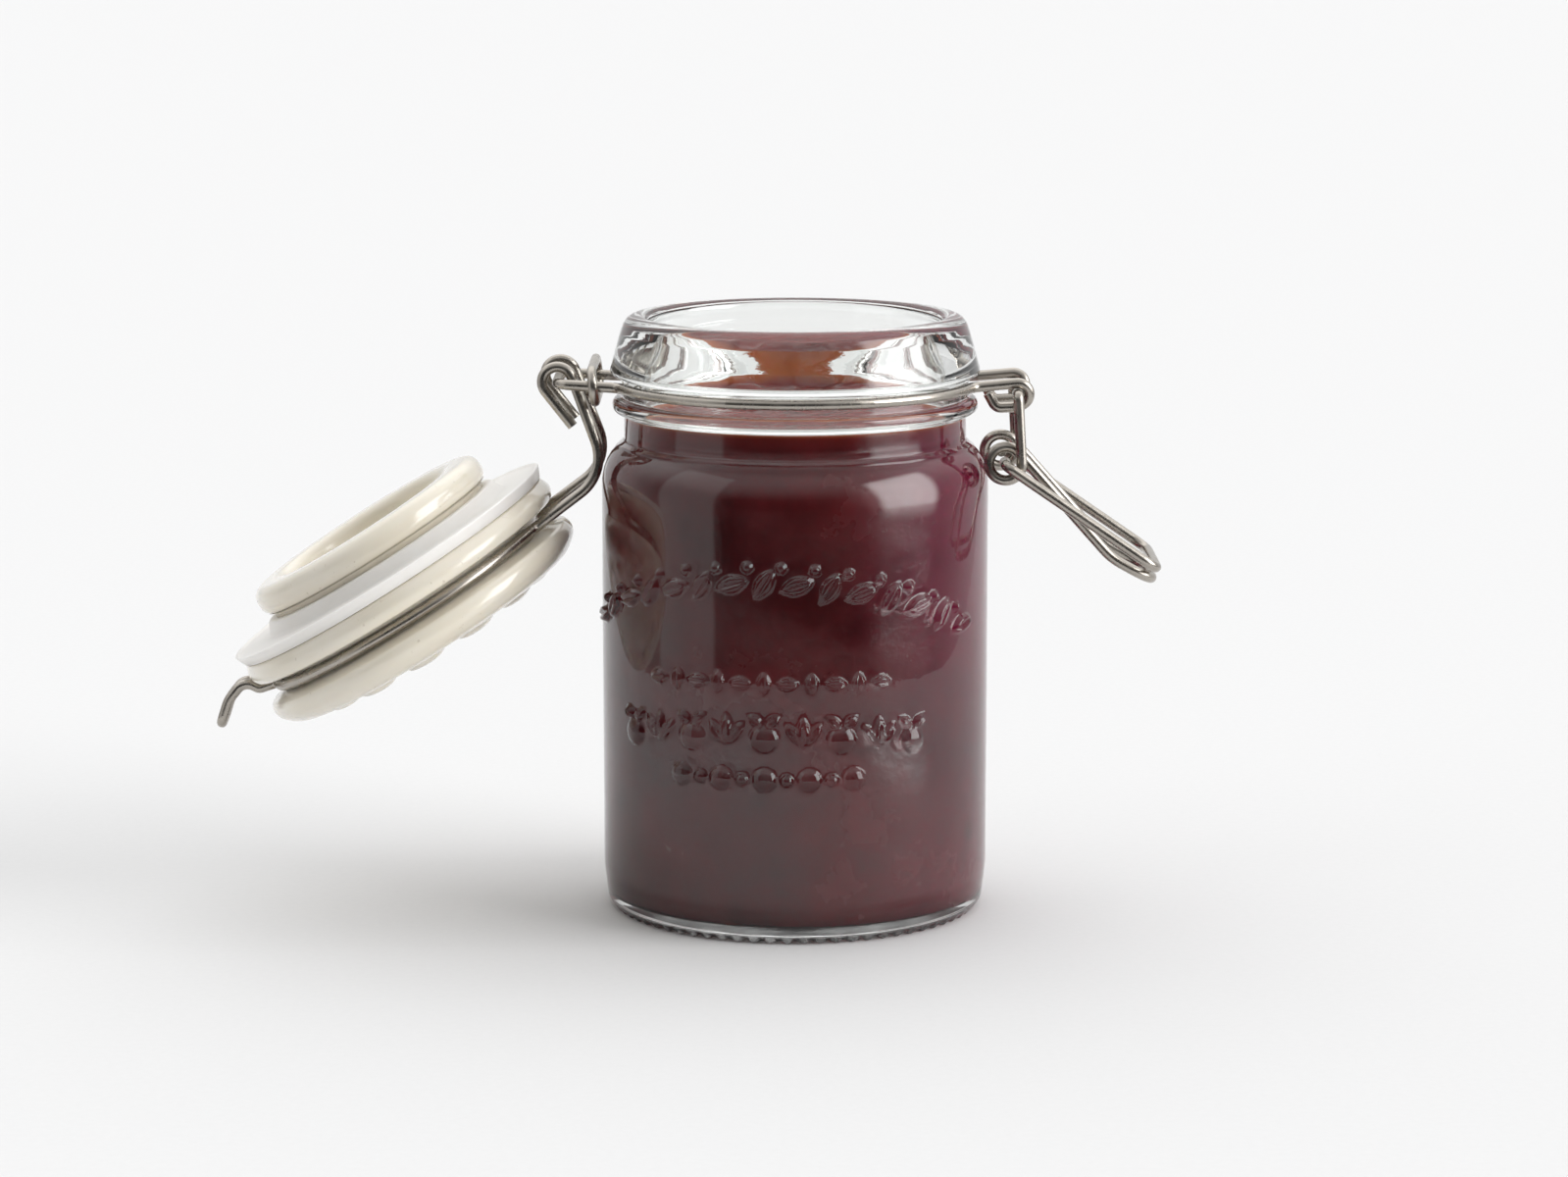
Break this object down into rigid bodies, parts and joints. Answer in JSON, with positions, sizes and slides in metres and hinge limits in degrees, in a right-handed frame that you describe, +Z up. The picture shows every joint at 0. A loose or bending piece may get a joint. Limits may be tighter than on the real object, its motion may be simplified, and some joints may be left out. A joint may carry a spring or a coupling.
{
  "type": "bail clamp jar",
  "caption": "Round clear glass preserving jar of red jam with a hinged ceramic lid hanging open and a steel wire lever clamp.",
  "frame": {"origin": "centre of the standing ring, on the surface the jar stands on", "axes": "+Z up; +X from the hinge to the latch; -Y towards the relief panel; the piece is symmetric about the XZ plane"},
  "size_m": [0.1715, 0.0704, 0.1082],
  "materials": {
    "clear_glass": "clear pressed glass, smooth, faintly green where it is thick",
    "jam": "dark red fruit jam, glossy and slightly translucent",
    "steel_wire": "bright drawn steel wire with fine lengthwise marks",
    "glazed_ceramic": "glossy cream glaze, thinner over the edges",
    "sealing_rubber": "translucent white sealing rubber, satin"
  },
  "bodies": {
    "jar": {"jar_glass": "clear_glass", "jam_fill": "jam", "neck_wire": "steel_wire", "hinge_clip_ring": "steel_wire"},
    "lid": {"lid_wire": "steel_wire", "ceramic_lid": "glazed_ceramic", "gasket": "sealing_rubber"},
    "lever": {"lever": "steel_wire"},
    "draw_loop": {"draw_loop": "steel_wire"}
  },
  "joints": [
    {"name": "lid_hinge", "type": "hinge", "parent": "jar", "child": "lid", "pos_m": [-0.0426, 0, 0.0966], "axis": [0, 1, 0], "range_deg": [0, 212]},
    {"name": "lever_pivot", "type": "hinge", "parent": "jar", "child": "lever", "pos_m": [0.0398, 0, 0.0947], "axis": [0, -1, 0], "range_deg": [0, 162]},
    {"name": "loop_pivot", "type": "hinge", "parent": "lever", "child": "draw_loop", "pos_m": [0.03765, 0, 0.0823], "axis": [0, -1, 0], "range_deg": [0, 126]}
  ]
}
